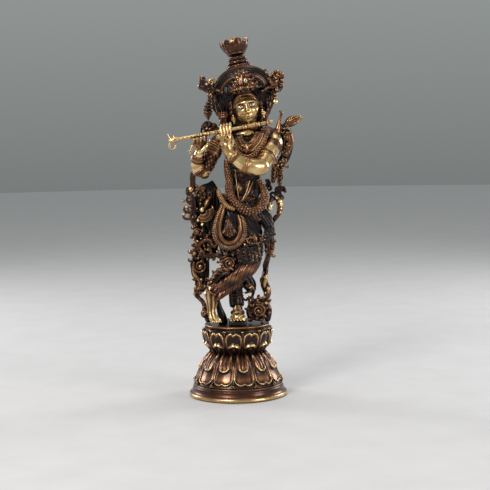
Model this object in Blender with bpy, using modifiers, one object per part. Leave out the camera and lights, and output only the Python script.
"""A cast-brass deity statue that plays a flute, 254 mm tall, as an assembly of separate castings.

The figure stands on one straight leg with the other crossed in front of it, on a two-tier lotus
pedestal. A shawl frames it with openwork scrolls on both sides. The flute is a loose rod that
slides out through the hands. Lengths are millimetres until the last step; +Z is up, the figure
faces -Y, and "left" and "right" are the figure's own, so left is +X.
"""

import math

import bmesh
import bpy
from mathutils import Matrix, Vector

MM = 0.001

# ---- driving dimensions, in millimetres ----
GAP = 0.32            # clearance that a piece keeps to every piece made before it
BASE_R = 34.6         # radius of the plinth's foot
PLINTH_TOP = 8.6
WAIST_Z = 30.0        # where the two lotus tiers meet
WAIST_R = 18.6
DECK_TOP = 51.5
DECK_R = 22.8
DECK_THICK = 2.0
PETALS = 12
PETAL_TURN = math.radians(8.5)    # the lower tier's first petal, measured from the front
WALL = 2.4            # wall of the hollow castings
BLUNT_REACH = 0.55    # how far a bar's rounded end reaches past its last station, in radii
BLUNT_RADIUS = 0.62   # and its radius there
REFIT = 1.35          # triangles allowed after fitting, for each one allowed before it

HEAD_AT = Vector((9.3, -2.0, 204.5))   # middle of the skull
HEAD_ROLL = math.radians(-10.0)        # the head leans towards the figure's right
CROWN_BACK = math.radians(7.0)         # the crown leans back a little more than the head

FLUTE_START = Vector((-38.5, -22.0, 183.1))
FLUTE_END = Vector((27.0, -18.6, 194.1))
FLUTE_R = 1.3
FLUTE_RING_R = 1.75
FLUTE_BORE_R = 2.05   # bore through the hands, wide enough for the rings
FLUTE_AXIS = (FLUTE_END - FLUTE_START).normalized()


# ---- scene ----
for old in list(bpy.data.objects):
    bpy.data.objects.remove(old)
STATUE = bpy.data.collections.new("flute_statue")
CUTTERS = bpy.data.collections.new("cutters")
for group in (STATUE, CUTTERS):
    bpy.context.scene.collection.children.link(group)
CUTTERS.hide_render = True


def metal(name, colour, roughness):
    """A Principled material for one finish of the brass."""
    material = bpy.data.materials.new(name)
    material.use_nodes = True
    surface = material.node_tree.nodes["Principled BSDF"]
    surface.inputs["Base Color"].default_value = (*colour, 1.0)
    surface.inputs["Metallic"].default_value = 0.9
    surface.inputs["Roughness"].default_value = roughness
    return material


POLISHED = metal("polished_brass", (0.78, 0.58, 0.26), 0.28)
ANTIQUE = metal("antique_brass", (0.20, 0.11, 0.07), 0.42)
DARK = metal("dark_patina", (0.07, 0.045, 0.035), 0.5)
STEEL = metal("zinc_steel", (0.55, 0.55, 0.56), 0.4)
ENAMEL = metal("eye_enamel", (0.9, 0.9, 0.88), 0.2)


# ---- shape helpers: each returns an object whose mesh is closed, in metres ----
def linked(name, data):
    shape = bpy.data.objects.new(name, data)
    STATUE.objects.link(shape)
    return shape


def baked(shape):
    """The object with its modifiers, curve shape and transform applied to a plain mesh."""
    bpy.context.view_layer.update()
    graph = bpy.context.evaluated_depsgraph_get()
    mesh = bpy.data.meshes.new_from_object(shape.evaluated_get(graph))
    mesh.transform(shape.matrix_world)
    made = linked("shape", mesh)
    bpy.data.objects.remove(shape)
    return made


def edit(shape, work):
    """Runs work(bm) on the object's mesh."""
    bm = bmesh.new()
    bm.from_mesh(shape.data)
    work(bm)
    bm.to_mesh(shape.data)
    bm.free()
    return shape


def closed_up(shape):
    """Welds loose caps and turns every face outwards."""
    def work(bm):
        bmesh.ops.remove_doubles(bm, verts=bm.verts, dist=0.002 * MM)
        bmesh.ops.recalc_face_normals(bm, faces=bm.faces)
    return edit(shape, work)


def turned(profile, steps=36, ring=False):
    """A turned shape about Z, from (radius, height) points down its outer side.

    The profile of a ring closes on itself.
    """
    mesh = bpy.data.meshes.new("profile")
    count = len(profile)
    edges = [(i, i + 1) for i in range(count - 1)]
    if ring:
        edges.append((count - 1, 0))
    mesh.from_pydata([(r * MM, 0.0, z * MM) for r, z in profile], edges, [])
    shape = linked("turned", mesh)
    screw = shape.modifiers.new("Turn", "SCREW")
    screw.steps = steps
    screw.render_steps = steps
    screw.use_merge_vertices = True
    screw.merge_threshold = 0.00001
    return closed_up(baked(shape))


def disc(radius, low, high, steps=36):
    return turned([(0, high), (radius, high), (radius, low), (0, low)], steps)


def smooth_path(points, spans=3):
    """Points along a Catmull-Rom curve through the given points."""
    ends = [points[0] * 2 - points[1]] + list(points) + [points[-1] * 2 - points[-2]]
    path = []
    for i in range(1, len(ends) - 2):
        a, b, c, d = ends[i - 1:i + 3]
        for k in range(spans):
            t = k / spans
            path.append(0.5 * (2 * b + (c - a) * t + (2 * a - 5 * b + 4 * c - d) * t * t
                               + (3 * b - a - 3 * c + d) * t ** 3))
    return path + [points[-1]]


def blunt_end(end, before):
    """One more station past a bar's end, which rounds it off."""
    out = (end.xyz - before.xyz).normalized() * end.w * BLUNT_REACH
    return Vector((*(end.xyz + out), end.w * BLUNT_RADIUS))


def tube(stations, resolution=2, spans=3):
    """A round bar through stations of (x, y, z, radius), with blunt rounded ends."""
    path = [Vector(s) for s in stations]
    if spans > 1:
        path = smooth_path(path, spans)
    path = [blunt_end(path[0], path[1]), *path, blunt_end(path[-1], path[-2])]
    curve = bpy.data.curves.new("path", "CURVE")
    curve.dimensions = "3D"
    curve.bevel_depth = MM
    curve.bevel_resolution = resolution
    curve.use_fill_caps = True
    line = curve.splines.new("POLY")
    line.points.add(len(path) - 1)
    for point, station in zip(line.points, path):
        point.co = (*(station.xyz * MM), 1.0)
        point.radius = station.w
    return closed_up(baked(linked("bar", curve)))


def ellipsoid(centre, radii, segments=16, rings=10, turn=None):
    mesh = bpy.data.meshes.new("ball")
    bm = bmesh.new()
    bmesh.ops.create_uvsphere(bm, u_segments=segments, v_segments=rings, radius=MM)
    size = Matrix.Diagonal((*radii, 1.0))
    turn = turn or Matrix.Identity(4)
    bm.transform(Matrix.Translation(Vector(centre) * MM) @ turn @ size)
    bm.to_mesh(mesh)
    bm.free()
    return linked("ball", mesh)


def hoop(centre, axis, radius, thickness, segments=28, sides=8, squash=1.0):
    """A torus round an axis, as a ring worn on a limb."""
    bpy.ops.mesh.primitive_torus_add(
        major_radius=radius * MM, minor_radius=thickness * MM,
        major_segments=segments, minor_segments=sides)
    ring = bpy.context.object
    ring.data.transform(Matrix.Diagonal((1.0, squash, 1.0, 1.0)))
    ring.rotation_mode = "QUATERNION"
    ring.rotation_quaternion = Vector(axis).to_track_quat("Z", "Y")
    ring.location = Vector(centre) * MM
    return baked(ring)


def stack(sections, sides=8, levels=1, squareness=1.0):
    """A soft form through horizontal ovals of (z, x, y, half_width, half_depth), then subdivided."""
    mesh = bpy.data.meshes.new("cage")
    bm = bmesh.new()
    rings = []
    for z, x, y, half_width, half_depth in sections:
        ring = []
        for k in range(sides):
            angle = 2 * math.pi * (k + 0.5) / sides
            c, s = math.cos(angle), math.sin(angle)
            ring.append(bm.verts.new((
                (x + half_width * math.copysign(abs(c) ** squareness, c)) * MM,
                (y + half_depth * math.copysign(abs(s) ** squareness, s)) * MM,
                z * MM)))
        rings.append(ring)
    for low, high in zip(rings, rings[1:]):
        for k in range(sides):
            n = (k + 1) % sides
            bm.faces.new((low[k], low[n], high[n], high[k]))
    bm.faces.new(rings[0][::-1])
    bm.faces.new(rings[-1])
    bmesh.ops.recalc_face_normals(bm, faces=bm.faces)
    bm.to_mesh(mesh)
    bm.free()
    shape = linked("soft", mesh)
    if levels:
        smooth = shape.modifiers.new("Smooth", "SUBSURF")
        smooth.levels = levels
        smooth.render_levels = levels
    return baked(shape)


def fused(parts, voxel, faces, smoothing=4):
    """Overlapping shapes made one closed skin of about this many faces."""
    bm = bmesh.new()
    for part in parts:
        bm.from_mesh(part.data)
        bpy.data.objects.remove(part)
    mesh = bpy.data.meshes.new("fused")
    bm.to_mesh(mesh)
    bm.free()
    shape = linked("fused", mesh)
    skin = shape.modifiers.new("Skin", "REMESH")
    skin.mode = "VOXEL"
    skin.voxel_size = voxel * MM
    soften = shape.modifiers.new("Soften", "SMOOTH")
    soften.factor = 0.5
    soften.iterations = smoothing
    return largest_body(thinned(triangles(baked(shape)), faces))


def largest_body(shape):
    """Drops every loose body but the largest, such as a sliver that a cut leaves."""
    def work(bm):
        left = set(bm.verts)
        bodies = []
        while left:
            body, edge = set(), [left.pop()]
            while edge:
                vert = edge.pop()
                body.add(vert)
                near = [e.other_vert(vert) for e in vert.link_edges]
                fresh = [v for v in near if v in left]
                left.difference_update(fresh)
                edge.extend(fresh)
            bodies.append(body)
        bodies.sort(key=size_of_body)
        for body in bodies[:-1]:
            bmesh.ops.delete(bm, geom=list(body), context="VERTS")
    return edit(shape, work)


def size_of_body(body):
    spread = [max(v.co[i] for v in body) - min(v.co[i] for v in body) for i in range(3)]
    return spread[0] * spread[1] + spread[1] * spread[2] + spread[2] * spread[0]


def moved(shape, matrix):
    shape.data.transform(matrix)
    return shape


def corners(shape):
    points = [v.co for v in shape.data.vertices]
    low = Vector([min(p[i] for p in points) for i in range(3)])
    high = Vector([max(p[i] for p in points) for i in range(3)])
    return low, high


def boxes_meet(a, b):
    return all(a[0][i] <= b[1][i] and b[0][i] <= a[1][i] for i in range(3))


# ---- fitting: the castings seat on one another with a small even clearance ----
MADE = []    # (corners of the cutter, cutter) for each finished piece


def keep_clear(cutter):
    """Later pieces are cut away where this cutter is."""
    for group in list(cutter.users_collection):
        group.objects.unlink(cutter)
    CUTTERS.objects.link(cutter)
    cutter.hide_render = True
    cutter.display_type = "WIRE"
    MADE.append((corners(cutter), cutter))


def relieved(shape):
    """The shape cut back to a clearance from all the pieces made before it."""
    for box, cutter in MADE:
        if not boxes_meet(corners(shape), box):
            continue
        cut = shape.modifiers.new("Clear", "BOOLEAN")
        cut.operation = "DIFFERENCE"
        cut.object = cutter
        cut.solver = "EXACT"
        shape = baked(shape)
    return largest_body(shape)


def piece(name, shape, material, faces=None, swept=None, holder=None):
    """Finishes one node: fits it to the pieces before it, and leaves a cutter for the ones after.

    The cutter is swept, or else the shape grown by the clearance. holder is the node's parent empty.
    """
    shape = triangles(shape)
    if faces:
        shape = thinned(shape, faces)
    if swept is None:
        swept = linked("grown", shape.data.copy())
        grow = swept.modifiers.new("Grow", "DISPLACE")
        grow.strength = GAP * MM
        grow.mid_level = 0.0
        swept = baked(swept)
    swept.name = name + "_clearance"
    shape = relieved(shape)
    if faces:
        shape = thinned(triangles(shape), faces * REFIT)
    shape.name = name
    shape.data.name = name
    shape.data.materials.clear()
    shape.data.materials.append(material)
    shape.data.shade_smooth()
    shape.data.set_sharp_from_angle(angle=math.radians(40))
    keep_clear(swept)
    held(shape, holder)


def holder_at(name, place):
    """An empty, placed in millimetres, that carries the pieces which share its frame."""
    empty = bpy.data.objects.new(name, None)
    empty.empty_display_size = 8 * MM
    STATUE.objects.link(empty)
    empty.location = place.to_translation() * MM
    empty.rotation_euler = place.to_euler()
    bpy.context.view_layer.update()
    return empty


def held(shape, holder):
    """Parents the shape to its empty, or else puts its origin in its middle; the shape stays in place."""
    if holder:
        shape.data.transform(holder.matrix_world.inverted())
        shape.parent = holder
        return
    low, high = corners(shape)
    middle = (low + high) / 2
    shape.data.transform(Matrix.Translation(-middle))
    shape.location = middle


def thinned(shape, faces):
    """The shape with about this many triangles."""
    thin = shape.modifiers.new("Thin", "DECIMATE")
    thin.ratio = min(1.0, faces / len(shape.data.polygons))
    return baked(shape)


def triangles(shape):
    return edit(shape, lambda bm: bmesh.ops.triangulate(bm, faces=bm.faces))


def petalled(shape, root_z, tip_z, count, turn, bulge, scallop, is_outside):
    """Raises petals on a turned wall, each with a bulge, a groove beside it and a scalloped tip."""
    def work(bm):
        for vert in bm.verts:
            radius = math.hypot(vert.co.x, vert.co.y)
            z = vert.co.z / MM
            if radius < 1e-6 or not is_outside(radius / MM, z):
                continue
            along = min(1.0, max(0.0, (z - root_z) / (tip_z - root_z)))
            petal = math.atan2(vert.co.x, -vert.co.y) * count / (2 * math.pi)
            across = abs((petal + 0.5) % 1.0 - 0.5) * 2
            lift = bulge * math.sin(math.pi * min(0.92, 0.1 + along * 0.75)) * (1 - across ** 1.5)
            vert.co.x *= 1 + lift * MM / radius
            vert.co.y *= 1 + lift * MM / radius
            if along > 0.97:
                vert.co.z -= math.copysign(scallop * across, tip_z - root_z) * MM
    return moved(edit(shape, work), Matrix.Rotation(turn, 4, "Z"))


# ---- the flute: a loose rod with its own finial ----
def flute_height(x):
    """Height of the flute's middle line at a place across the figure."""
    return FLUTE_START.z + (x - FLUTE_START.x) * FLUTE_AXIS.z / FLUTE_AXIS.x


def flute():
    length = (FLUTE_END - FLUTE_START).length
    rings = (14.5, 27.0, 33.0, 47.5, 55.5)
    profile = [(0.0, length)]
    profile += [(FLUTE_R, length), (FLUTE_R, rings[-1] + 1.0)]
    for at in reversed(rings):
        profile += [(FLUTE_R, at + 0.8), (FLUTE_RING_R, at + 0.4), (FLUTE_RING_R, at - 0.4),
                    (FLUTE_R, at - 0.8)]
    profile += [(FLUTE_R, 0.0), (0.0, 0.0)]
    turn = FLUTE_AXIS.to_track_quat("Z", "Y").to_matrix().to_4x4()
    place = Matrix.Translation(FLUTE_START * MM) @ turn
    slide = holder_at("flute_slide_axis", Matrix.Translation(FLUTE_START) @ turn)
    bore = moved(disc(FLUTE_BORE_R, -1.0, length + 1.0, 20), place)
    piece("flute_tube", moved(turned(profile, 10), place), POLISHED, swept=bore, holder=slide)
    # The outer end is a small sea-beast tail: a socket, a rising fin and a hanging curl.
    root = FLUTE_START - FLUTE_AXIS * 1.0
    socket = tube([(*(root - FLUTE_AXIS * 0.4), 1.9), (*(root - FLUTE_AXIS * 3.0), 2.1)], 2, 1)
    fin = tube([(*(root - FLUTE_AXIS * 2.5), 1.5),
                (root.x - 4.2, root.y, root.z + 1.6, 1.1),
                (root.x - 5.6, root.y, root.z + 3.8, 0.6)], 1, 2)
    curl = tube([(*(root - FLUTE_AXIS * 2.5), 1.5)]
                + [(root.x - 2.6 + 2.1 * math.sin(a), root.y, root.z - 4.0 - 2.1 * math.cos(a), 0.8)
                   for a in (math.radians(d) for d in (200, 270, 340, 410))], 1, 2)
    piece("flute_finial", fused([socket, fin, curl], 0.45, 260, 2), POLISHED, 260, holder=slide)


# ---- fasteners inside the pedestal ----
def fasteners():
    bolt = turned([(0, 53.3), (1.6, 53.3), (2.0, 52.9), (2.0, 2.6), (0, 2.6)], 16)
    piece("tie_bolt", bolt, STEEL)
    piece("tie_washer", turned([(7.0, 8.4), (7.0, 7.2), (2.4, 7.2), (2.4, 8.4)], 16, ring=True), STEEL)
    nut = turned([(4.0, 6.8), (4.0, 3.6), (2.35, 3.6), (2.35, 6.8)], 6, ring=True)
    piece("tie_nut", nut, STEEL)


# ---- the pedestal ----
def pedestal():
    piece("base_plate", disc(BASE_R - 3.0, 0.0, 1.4, 36), ANTIQUE)
    plinth = turned([
        (31.6, PLINTH_TOP), (32.4, 6.6), (33.4, 3.2),
        (BASE_R, 2.5), (BASE_R, 0.0), (BASE_R - 2.6, 0.0), (BASE_R - 2.6, 1.75), (29.4, 1.75),
        (29.4, PLINTH_TOP)], 36, ring=True)
    piece("plinth", plinth, ANTIQUE)

    low, high = PLINTH_TOP + GAP, WAIST_Z - 1.2
    outer = [(WAIST_R, high), (20.4, 25.5), (23.6, 20.4), (26.8, 15.0), (28.4, 11.6), (29.0, low)]
    inner = [(25.4, low), (20.2, 20.0)]
    web = [(WAIST_R - WALL, high - 3.0), (5.0, high - 3.0), (5.0, high)]
    bell = turned(outer + inner + web, 48, ring=True)
    bell = petalled(bell, high, low, PETALS, PETAL_TURN, 2.6, 2.2, lambda r,
                    z: r > 21.8 or (z > 24 and r > 18.0))
    piece("lower_lotus", bell, ANTIQUE)

    low, high = WAIST_Z + 0.9, DECK_TOP - DECK_THICK - GAP
    outer = [(22.6, high), (23.3, 45.0), (23.0, 40.5), (21.6, 36.5), (19.4, 33.0), (WAIST_R - 0.6, low)]
    inner = [(5.0, low), (5.0, low + WALL), (16.5, low + WALL), (19.6, 40.5), (20.2, high)]
    cup = turned(outer + inner, 48, ring=True)
    cup = petalled(cup, low, high, PETALS, PETAL_TURN - math.pi / PETALS, 2.0, 1.6,
                   lambda r, z: r > 20.8 or (z < 34.5 and r > 17.0))
    piece("upper_lotus", cup, DARK)
    low, high = WAIST_Z - 0.85, WAIST_Z + 0.55
    ring = turned([(5.0, high), (WAIST_R - 0.4, high), (WAIST_R + 0.5, WAIST_Z - 0.15),
                   (WAIST_R - 0.4, low), (5.0, low)], 32, ring=True)
    piece("waist_ring", ring, DARK)
    deck = turned([(DECK_R - 0.4, DECK_TOP), (DECK_R, DECK_TOP - 0.6), (DECK_R - 0.4, DECK_TOP - DECK_THICK),
                   (2.4, DECK_TOP - DECK_THICK), (2.4, DECK_TOP)], 36, ring=True)
    piece("deck_plate", deck, ANTIQUE)


# ---- the head and crown share one leaning frame ----
def head_lean(back=0.0):
    """The head leans to the figure's right, and the crown's top leans back as well."""
    return Matrix.Rotation(HEAD_ROLL, 4, "Y") @ Matrix.Rotation(-back, 4, "X")


HEAD = holder_at("head_lean", Matrix.Translation(HEAD_AT) @ head_lean())
CROWN_TOP = holder_at("crown_lean", Matrix.Translation(HEAD_AT) @ head_lean(CROWN_BACK))


def head_piece(name, shape, material, faces=None, holder=HEAD):
    """A piece modelled about the middle of the skull and placed by the head's empty."""
    piece(name, moved(shape, holder.matrix_world), material, faces, holder=holder)


def eyes():
    for side, x in (("left", 4.0), ("right", -4.0)):
        ball = ellipsoid((x, -9.9, 0.9), (1.75, 1.1, 0.95), 10, 6)
        head_piece("eye_" + side, ball, ENAMEL)


def earrings():
    for side, x in (("left", 1), ("right", -1)):
        drum = ellipsoid((10.4 * x, -3.4, -6.2), (2.2, 2.4, 2.9), 10, 6)
        head_piece("earring_" + side, drum, POLISHED)


def crown():
    band = hoop((0, -0.6, 9.6), (0, -0.18, 1), 10.9, 1.5, 24, 6)
    head_piece("crown_band", band, ANTIQUE, 220)
    crest = fused([ellipsoid((0, -11.2, 13.2), (5.6, 1.9, 4.6), 14, 8),
                   tube([(0, -11.0, 15.0, 3.2), (0, -10.6, 20.0, 2.0), (0, -10.0, 24.4, 0.9)], 2, 2)], 0.7,
                  300)
    head_piece("crown_crest", crest, ANTIQUE, 220)

    bud = turned([(0, 50.6), (0.9, 49.6), (1.9, 47.8), (2.0, 46.2), (1.2, 44.4), (1.2, 41.0), (0, 41.0)], 12)
    head_piece("crown_bud", bud, POLISHED, holder=CROWN_TOP)
    cup = turned([(0, 40.0), (5.2, 40.0), (7.2, 42.6), (7.9, 45.6), (8.6, 45.6), (9.1, 44.6),
                  (8.6, 41.6), (6.4, 38.4), (4.6, 36.6), (0, 36.6)], 27)
    cup = petalled(cup, 37.0, 45.6, 9, 0.2, 1.2, 1.2, lambda r, z: r > 8.0 or r > 4.0 and z < 39.0)
    head_piece("crown_lotus", cup, ANTIQUE, 300, holder=CROWN_TOP)
    rings = turned([(0, 36.2), (4.4, 36.2), (4.6, 34.6), (6.4, 34.0), (7.0, 32.6), (6.4, 31.2), (5.2, 30.6),
                    (6.4, 28.6), (6.0, 27.7), (0, 27.7)], 18)
    head_piece("crown_ring", rings, ANTIQUE, 220, holder=CROWN_TOP)
    dome = turned([(0, 27.4), (5.8, 27.4), (8.6, 26.0), (13.4, 22.6), (17.6, 18.2), (20.4, 13.2),
                   (20.6, 11.6),
                   (18.4, 11.2), (0, 12.4)], 30)
    dome = moved(dome, Matrix.Diagonal((1.0, 0.72, 1.0, 1.0)))
    dome = moved(dome, Matrix.Translation((0, 2.4 * MM, 0)))
    head_piece("crown_dome", dome, DARK, 420)

    left = fused([tube([(19.4, 2.0, 14.6, 2.4), (23.0, 1.0, 17.6, 2.6), (25.6, 1.0, 20.6, 1.4)], 2, 2),
                  ellipsoid((22.6, 0.4, 13.6), (3.6, 2.2, 3.6), 12, 8),
                  ellipsoid((26.2, 1.0, 15.4), (2.6, 1.8, 4.2), 12, 8),
                  tube([(23.0, 0.0, 11.0, 1.5), (22.0, -1.0, 6.5, 1.4), (22.4, -1.2, 2.4, 1.9)], 2, 2)],
                 0.8, 300)
    head_piece("crown_scroll_left", left, ANTIQUE, 240)
    right = fused([tube([(-19.8, 2.0, 14.2, 2.4), (-24.2, 1.0, 13.6, 3.0), (-28.6, 1.0, 13.0, 1.8)], 2, 2),
                   ellipsoid((-25.6, 0.6, 11.4), (3.8, 2.2, 4.0), 12, 8),
                   tube([(-27.4, 0.6, 14.0, 1.6), (-28.0, 0.6, 18.6, 1.6)], 2, 2),
                   tube([(-24.0, -0.6, 9.0, 1.6), (-25.2, -1.2, 3.0, 2.3), (-27.6, -1.4, -3.6, 2.6),
                         (-29.0, -1.4, -9.4, 1.2)], 2, 2)], 0.8, 320)
    head_piece("crown_scroll_right", right, ANTIQUE, 250)


def head():
    shape = fused([
        ellipsoid((0, 0.2, 2.6), (9.1, 10.2, 10.8), 20, 14),
        ellipsoid((0, -3.6, -4.6), (7.2, 7.2, 7.4), 18, 12),
        ellipsoid((0, -7.2, -9.6), (3.0, 2.8, 2.6), 12, 8),
        tube([(0, -10.3, 0.6, 1.1), (0, -11.8, -2.6, 1.5)], 2, 2),
        tube([(0.6, 1.0, -3.0, 5.0), (1.0, 2.0, -14.0, 4.8)], 2, 2),
        ellipsoid((9.2, 0.6, -0.6), (1.0, 1.9, 3.4), 10, 8),
        ellipsoid((-9.2, 0.6, -0.6), (1.0, 1.9, 3.4), 10, 8),
    ], 0.9, 460, 3)
    head_piece("head", shape, POLISHED, 380)


def hair():
    veil = stack([(190.5, 8.4, 5.0, 13.2, 6.0), (196.0, 7.8, 4.6, 15.6, 7.6), (203.0, 8.0, 3.8, 18.0, 8.8),
                  (210.0, 8.2, 3.2, 20.6, 10.0), (216.5, 7.6, 2.8, 23.6, 11.4),
                  (218.0, 7.4, 2.8, 22.8, 10.8)],
                 10, 1, 0.9)
    piece("hair_veil", veil, DARK, 360)


# ---- jewellery ----
def necklaces():
    collar = tube([(1.0, -9.8, 184.6, 1.4), (0.6, -12.4, 177.0, 1.7), (5.4, -14.8, 171.0, 2.0),
                   (11.4, -15.2, 170.2, 2.0), (17.4, -13.6, 175.0, 1.8), (18.6, -10.6, 182.8, 1.4)], 2, 3)
    piece("collar", moved_y(collar, 0.8, -12.0), ANTIQUE, 200)
    pendant = fused([ellipsoid((8.4, -14.6, 176.4), (3.6, 1.5, 2.6), 12, 8),
                     ellipsoid((8.4, -14.8, 173.4), (2.0, 1.4, 2.2), 12, 8)], 0.6, 180)
    piece("pendant", pendant, POLISHED, 120)
    # The garland drapes from both shoulders and hangs in front of the hips.
    garland = tube([(-3.4, -9.4, 176.0, 1.9), (-5.4, -11.6, 164.0, 2.1), (-5.2, -12.4, 150.0, 2.5),
                    (-1.4, -15.6, 139.2, 2.7), (5.0, -17.0, 134.0, 2.9), (11.6, -16.6, 132.2, 2.9),
                    (17.6, -13.4, 136.2, 2.7), (20.4, -9.6, 144.0, 2.3), (20.6, -8.0, 154.0, 1.8),
                    (21.4, -8.2, 160.0, 1.5)], 2, 3)
    piece("garland", garland, ANTIQUE, 300)
    inner = tube([(-6.6, -13.6, 153.6, 1.3), (-9.2, -13.4, 146.0, 1.9), (-8.8, -14.4, 138.8, 2.0),
                  (-3.6, -16.6, 134.2, 1.9), (-0.4, -18.2, 134.6, 1.2)], 2, 3)
    piece("garland_inner", inner, ANTIQUE, 160)
    chain = tube([(3.2, -10.2, 160.0, 0.6), (5.0, -10.6, 148.0, 0.6), (7.2, -11.0, 141.4, 0.7),
                  (10.6, -10.8, 147.4, 0.6), (12.6, -10.4, 155.6, 0.6)], 1, 3)
    piece("belly_chain", chain, ANTIQUE, 120)


def moved_y(shape, scale, about):
    """Flattens a shape in depth about a plane y = about."""
    squash = Matrix.Translation((0, about * MM, 0)) @ Matrix.Diagonal((1, scale, 1, 1))
    return moved(shape, squash @ Matrix.Translation((0, -about * MM, 0)))


def limb_rings():
    piece("armlet_left", hoop((24.4, -10.4, 172.4), (-0.55, -0.62, -0.56), 6.7, 1.0, 18, 5), ANTIQUE)
    piece("armlet_right", hoop((-15.6, -4.4, 170.0), (-0.6, -0.35, -0.72), 6.5, 1.0, 18, 5), ANTIQUE)
    piece("bracelet_left", hoop((1.6, -25.6, 170.6), (-0.8, -0.1, 0.6), 4.5, 1.3, 16, 5), ANTIQUE)
    piece("bracelet_right", hoop((-25.0, -14.2, 167.6), (-0.1, -0.55, 0.83), 4.7, 1.3, 16, 5), ANTIQUE)
    piece("anklet_left", hoop((-16.6, -12.2, 75.0), (0.55, 0.05, 0.84), 5.0, 1.0, 16, 5), POLISHED)
    piece("anklet_right", hoop((0.9, -3.4, 62.6), (0, 0.3, 0.95), 4.4, 1.0, 16, 5), POLISHED)


def waist_dress():
    belt = hoop((4.0, -1.2, 140.6), (0.12, 0, 0.99), 12.9, 1.7, 28, 6, 0.76)
    piece("belt", belt, ANTIQUE, 260)
    loop = tube([(-9.0, -14.6, 136.0, 1.7), (-12.2, -16.0, 127.0, 2.1), (-13.4, -16.4, 118.0, 2.5),
                 (-9.4, -17.2, 109.6, 2.9), (-3.6, -17.6, 107.2, 3.1), (2.6, -17.0, 110.0, 2.9),
                 (5.8, -16.4, 118.0, 2.5), (5.2, -15.6, 125.0, 2.1), (3.4, -14.6, 130.4, 1.5)], 2, 3)
    piece("sash_loop", moved_y(loop, 0.7, -15.0), ANTIQUE, 280)
    apron = stack([(109.6, -3.4, -14.2, 5.4, 1.6), (113.0, -3.4, -14.6, 6.2, 2.2),
                   (119.0, -3.2, -14.4, 4.8, 2.2), (126.0, -2.6, -13.6, 2.6, 1.6)], 8, 1)
    piece("apron_pleats", apron, DARK, 140)


# ---- arms and hands ----
def left_hand():
    """The back of this hand faces forward, and its fingers close over the flute."""
    parts = [ellipsoid((-2.4, -26.0, 176.4), (4.2, 2.4, 4.8), 14, 10)]
    for k in range(4):
        x = -7.4 + 2.0 * k
        top = flute_height(x)
        parts.append(tube([(x * 0.8 - 1.0, -26.4, 178.6, 1.15), (x, -26.6, top - 3.6, 1.1),
                           (x, -26.2, top + 2.0, 1.05), (x + 0.2, -23.6, top + 4.3, 1.0),
                           (x + 0.4, -20.8, top + 4.0, 0.9)], 2, 2))
    parts.append(tube([(-0.4, -24.4, 177.4, 1.4), (-0.4, -21.0, 182.0, 1.2), (-2.4, -18.4, 186.8, 1.0)], 2,
                      2))
    piece("hand_left", fused(parts, 0.6, 380, 2), POLISHED, 380)


def right_hand():
    """The flute rests on these fingers, with the thumb behind it."""
    parts = [ellipsoid((-22.4, -17.6, 177.2), (3.8, 3.0, 4.4), 14, 10)]
    for k in range(4):
        x = -27.2 + 2.5 * k
        top = flute_height(x)
        parts.append(tube([(x * 0.5 - 11.2, -18.6, 178.6, 1.3), (x, -21.0, top - 3.6, 1.2),
                           (x, -24.0, top - 3.4, 1.1), (x, -25.6, top - 1.2, 0.9)], 2, 2))
    parts.append(tube([(-20.4, -17.0, 179.4, 1.5), (-20.0, -17.0, 184.0, 1.2), (-20.8, -18.2, 187.6, 1.0)],
                      2, 2))
    parts.append(tube([(-25.0, -18.4, 177.4, 1.2), (-29.2, -20.0, 175.8, 1.0), (-31.2, -20.4, 173.0, 0.7)],
                      2, 2))
    piece("hand_right", fused(parts, 0.6, 380, 2), POLISHED, 380)


def arms():
    left_hand()
    right_hand()
    piece("forearm_left", tube([(16.2, -22.2, 163.6, 6.3), (10.6, -24.6, 164.8, 5.8),
                                (4.4, -25.8, 168.4, 4.6),
                                (0.4, -26.0, 171.6, 3.5)], 3, 2), POLISHED, 200)
    piece("forearm_right", tube([(-23.6, -8.4, 161.4, 5.0), (-25.0, -11.6, 165.0, 4.6),
                                 (-24.8, -14.8, 169.0, 3.8),
                                 (-23.6, -17.0, 172.8, 3.2)], 3, 2), POLISHED, 180)
    piece("upper_arm_left", tube([(26.4, -1.0, 180.6, 6.4), (27.0, -6.0, 176.4, 6.3),
                                  (23.6, -11.6, 171.8, 5.8),
                                  (19.4, -18.0, 166.4, 5.6)], 3, 2), POLISHED, 200)
    piece("upper_arm_right", tube([(-6.6, -0.6, 176.6, 6.6), (-11.4, -2.6, 173.2, 6.4),
                                   (-17.4, -5.0, 168.0, 5.9),
                                   (-22.6, -7.0, 161.4, 5.4)], 3, 2), ANTIQUE, 200)


# ---- torso, hips and legs ----
def body():
    torso = stack([(141.0, 5.0, -1.0, 12.2, 8.6), (149.6, 6.8, -1.4, 10.6, 8.0),
                   (157.0, 8.0, -1.6, 11.8, 8.6),
                   (165.0, 9.0, -2.0, 14.6, 10.2), (173.0, 9.8, -2.2, 17.4, 11.2),
                   (180.0, 10.2, -1.2, 18.6, 9.8),
                   (185.0, 10.2, 0.0, 13.0, 7.6), (188.2, 10.2, 0.4, 8.0, 6.4)], 10, 1)
    piece("torso", torso, DARK, 420)
    hips = stack([(100.0, 2.6, -3.0, 11.0, 8.6), (107.0, 1.6, -3.2, 16.6, 11.6),
                  (117.0, 1.0, -2.6, 18.6, 13.0),
                  (128.0, 2.0, -2.0, 18.4, 13.2), (137.0, 3.6, -1.4, 15.4, 11.0),
                  (141.4, 4.6, -1.2, 12.6, 9.0)], 10, 1)
    piece("hips", hips, DARK, 400)


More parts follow.
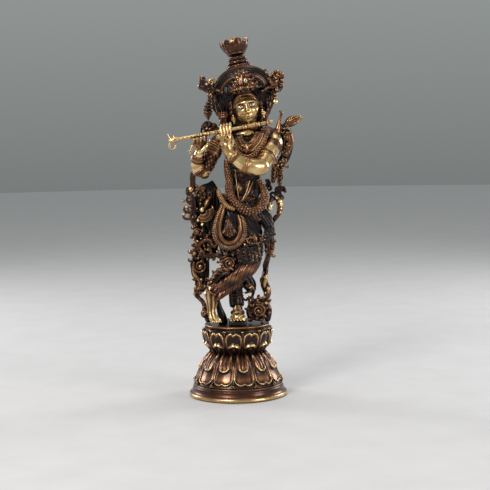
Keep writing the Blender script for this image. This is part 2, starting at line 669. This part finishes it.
def feet():
    block = stack([(DECK_TOP + GAP, 0.6, -7.4, 6.4, 11.6), (DECK_TOP + 2.6, 0.6, -7.4, 6.2, 11.4)], 16, 0,
                  0.6)
    toes = [ellipsoid((-4.0 + 2.1 * k, -16.0 + 0.35 * abs(k - 1.4), 55.7), (1.15, 2.2, 1.2), 8,
                      6) for k in range(5)]
    foot = fused([ellipsoid((0.8, -10.6, 56.6), (4.7, 6.2, 2.2), 14, 8),
                  ellipsoid((1.0, -3.0, 58.0), (3.6, 5.6, 3.6), 14, 8),
                  tube([(1.0, -3.6, 58.6, 3.3), (1.0, -2.6, 64.4, 3.3)], 2, 2)] + toes, 0.8, 360, 2)
    piece("standing_foot", foot, POLISHED, 260)
    piece("foot_block", block, DARK, 80)
    tips = [ellipsoid((-17.4 + 1.7 * k, -16.6 + 0.3 * k, 52.9), (0.95, 1.7, 1.3), 8, 6) for k in range(5)]
    foot = fused([tube([(-16.8, -11.6, 75.6, 3.9), (-16.4, -11.6, 69.0, 4.3), (-15.0, -13.0, 62.0, 3.9),
                        (-14.2, -14.6, 56.0, 3.4)], 3, 2),
                  ellipsoid((-14.6, -8.2, 70.4), (3.2, 3.4, 4.2), 12, 8)] + tips, 0.8, 360, 2)
    piece("crossing_foot", foot, POLISHED, 280)


def legs():
    piece("crossing_leg", tube([(9.0, -4.0, 118.0, 11.0), (12.0, -8.6, 108.0, 10.6), (13.0, -12.0, 99.6, 9.4),
                                (6.0, -14.2, 92.4, 8.4), (-3.0, -14.0, 86.0, 7.2), (-11.0, -12.8, 80.2, 6.2),
                                (-15.4, -12.0, 77.2, 6.0)], 2, 2), ANTIQUE, 300)
    piece("standing_leg", tube([(-3.0, 0.0, 112.0, 9.6), (-1.0, 0.4, 98.0, 8.2), (0.4, 0.6, 86.0, 6.4),
                                (0.8, 0.2, 74.0, 4.9), (1.0, -0.6, 64.0, 5.2)], 2, 2), DARK, 200)


# ---- the shawl: falls and openwork scrolls on both sides ----
def volute(x, y, z, size, turns=1.4, start=0.0, sense=1, thick=1.1):
    """A spiral bar in the plane y, from its outer end in to its eye."""
    steps = max(6, int(turns * 8))
    stations = []
    for k in range(steps + 1):
        t = k / steps
        angle = start + sense * 2 * math.pi * turns * t
        radius = size * (1 - 0.78 * t)
        stations.append((x + radius * math.cos(angle), y, z + radius * math.sin(angle),
                         thick * (1 - 0.3 * t)))
    return tube(stations, 1, 1)


def shawl_left():
    leaf = ellipsoid((42.4, 2.4, 194.2), (7.2, 1.7, 3.6), 14, 8, Matrix.Rotation(math.radians(-19), 4, "Y"))
    shoulder = fused([leaf, tube([(36.6, 2.4, 192.0, 1.8), (33.6, 2.4, 189.6, 3.0),
                                  (30.0, 1.8, 187.6, 3.0)], 2, 2),
                      tube([(31.6, 1.6, 188.6, 2.0), (32.4, 1.6, 195.0, 1.5), (34.4, 1.6, 201.2, 1.1)], 2, 2),
                      tube([(27.0, -2.6, 188.6, 2.4), (22.0, -5.0, 189.4, 2.4), (17.6, -6.0, 187.4, 2.0)],
                           2, 2)],
                     0.9, 320)
    piece("shoulder_shawl_left", shoulder, ANTIQUE, 200)
    fall = fused([tube([(35.2, 3.2, 186.4, 2.4), (40.0, 3.6, 181.4, 3.0), (40.6, 3.6, 174.6, 2.8),
                        (37.4, 3.2, 168.6, 2.8), (33.2, 2.6, 163.6, 3.4), (32.4, 2.2, 158.0, 2.6),
                        (31.6, 1.6, 149.0, 1.9)], 2, 2),
                  tube([(32.6, 2.0, 163.4, 2.2), (28.4, 0.4, 160.0, 1.8), (27.6, 0.2, 151.6, 1.6)], 2, 2)],
                 0.9, 360)
    piece("shawl_fall_left", fall, ANTIQUE, 260)
    cluster = fused([ellipsoid((27.0, 2.4, 143.0), (5.6, 2.6, 5.2), 14, 8),
                     tube([(30.0, 2.4, 146.6, 1.5), (34.2, 2.4, 147.0, 1.3), (37.2, 2.4, 144.8, 1.0)], 2, 2),
                     tube([(24.0, 2.2, 146.0, 1.5), (23.4, 2.2, 150.4, 1.3)], 2, 2),
                     tube([(30.6, 1.4, 140.6, 1.9), (32.2, 0.4, 134.6, 2.3), (30.4, 0.2, 127.6, 1.8),
                           (26.0, 0.8, 122.0, 1.8), (22.6, 1.4, 116.6, 3.2)], 2, 2),
                     tube([(25.6, 1.0, 138.4, 1.4), (24.6, -1.6, 134.6, 2.7)], 2, 2)], 0.9, 380)
    piece("hip_scroll_left", cluster, ANTIQUE, 260)
    drape = tube([(19.6, -3.0, 128.6, 3.2), (21.6, -2.4, 120.6, 4.2), (20.4, -4.0, 112.0, 4.0),
                  (15.0, -8.6, 108.0, 2.6)], 2, 2)
    column = fused([tube([(22.4, 1.0, 113.0, 3.4), (22.8, 2.0, 104.0, 2.8), (22.2, 2.0, 95.0, 2.6),
                          (19.8, 1.6, 86.0, 3.0), (22.0, 1.0, 78.0, 3.3), (21.4, 0.4, 70.0, 2.7),
                          (18.6, -1.2, 64.0, 3.2), (19.0, -2.6, 57.0, 3.4), (18.4, -2.6, 51.0, 2.6)], 2, 2),
                    volute(14.2, -5.4, 60.6, 5.6, 1.5, math.radians(40), -1, 1.4),
                    ellipsoid((14.0, -4.4, 60.4), (3.8, 1.6, 3.8), 12, 8),
                    tube([(10.6, -3.6, 64.0, 1.7), (8.8, -3.2, 70.0, 1.6), (10.6, -3.0, 75.6, 1.4)], 2, 2),
                    tube([(13.0, -4.0, 65.4, 2.0), (10.0, -3.8, 60.0, 2.0)], 2, 2)], 0.95, 560)
    piece("drape_left", drape, DARK, 140)
    piece("column_left", column, ANTIQUE, 420)


def shawl_right():
    knot = fused([volute(-19.6, 4.0, 190.6, 4.0, 1.2, math.radians(-60), 1, 1.5),
                  tube([(-15.6, 3.6, 189.8, 1.8), (-11.0, 3.0, 187.4, 2.4), (-6.6, 2.4, 184.4, 2.8)], 2, 2),
                  ellipsoid((-18.6, 4.0, 190.0), (2.6, 1.6, 2.6), 10, 8)], 0.9, 260)
    piece("shoulder_shawl_right", knot, ANTIQUE, 180)
    wing = ellipsoid((-18.4, 3.4, 137.6), (7.4, 2.6, 14.2), 16, 12, Matrix.Rotation(math.radians(20), 4, "Y"))
    fall = fused([tube([(-26.2, -2.0, 162.0, 3.0), (-29.2, 0.0, 155.0, 2.6), (-30.0, 1.0, 148.0, 2.8),
                        (-28.4, 1.4, 140.0, 3.4), (-27.6, 1.4, 130.0, 3.4), (-27.6, 1.0, 120.0, 2.8)], 2,
                       2), wing,
                  tube([(-27.4, 1.4, 143.4, 2.6), (-24.4, 1.6, 145.8, 2.8), (-20.0, 2.6, 145.0, 2.6)], 2, 2),
                  tube([(-30.4, 1.2, 138.4, 1.6), (-34.6, 1.4, 137.6, 1.4), (-38.8, 1.6, 138.6, 1.4)], 2, 2),
                  tube([(-30.4, 1.2, 132.4, 1.6), (-34.0, 1.4, 130.8, 1.7), (-37.6, 1.6, 131.4, 1.4)], 2, 2),
                  tube([(-29.4, 1.2, 128.4, 1.4), (-33.6, 1.4, 126.6, 1.5), (-36.8, 1.6, 122.6, 1.3)], 2, 2),
                  volute(-22.0, -2.0, 129.6, 6.2, 1.3, math.radians(-20), -1, 1.5)], 0.95, 560)
    piece("shawl_fall_right", fall, ANTIQUE, 420)
    column = fused([tube([(-27.4, 0.6, 118.6, 2.6), (-27.0, 0.4, 108.0, 3.2), (-28.0, 0.4, 99.0, 3.2),
                          (-29.6, 0.0, 91.0, 2.6), (-28.0, 0.0, 82.0, 2.8), (-28.2, 0.0, 74.0, 2.5),
                          (-25.2, -0.6, 66.4, 2.5), (-22.0, -2.2, 60.0, 3.4), (-19.0, -2.4, 51.0, 2.8)], 2,
                         2),
                    volute(-24.8, -2.2, 93.4, 5.2, 1.4, math.radians(110), 1, 1.5),
                    tube([(-26.0, -1.0, 104.4, 2.4), (-20.0, -5.6, 103.6, 2.6), (-13.4, -10.4, 100.6, 2.2),
                          (-8.0, -14.8, 99.0, 1.8)], 2, 2),
                    volute(-5.6, -17.6, 96.6, 4.8, 1.4, math.radians(60), -1, 1.4),
                    tube([(-9.4, -16.4, 96.0, 1.8), (-12.6, -15.0, 90.6, 1.6), (-16.4, -12.4, 85.6, 1.6),
                          (-23.0, -5.0, 80.6, 1.8), (-27.0, -0.6, 79.0, 1.8)], 2, 2)], 0.95, 640)
    piece("column_right", column, ANTIQUE, 460)


flute()
fasteners()
eyes()
earrings()
crown()
limb_rings()
necklaces()
waist_dress()
pedestal()
arms()
head()
hair()
body()
feet()
legs()
shawl_left()
shawl_right()
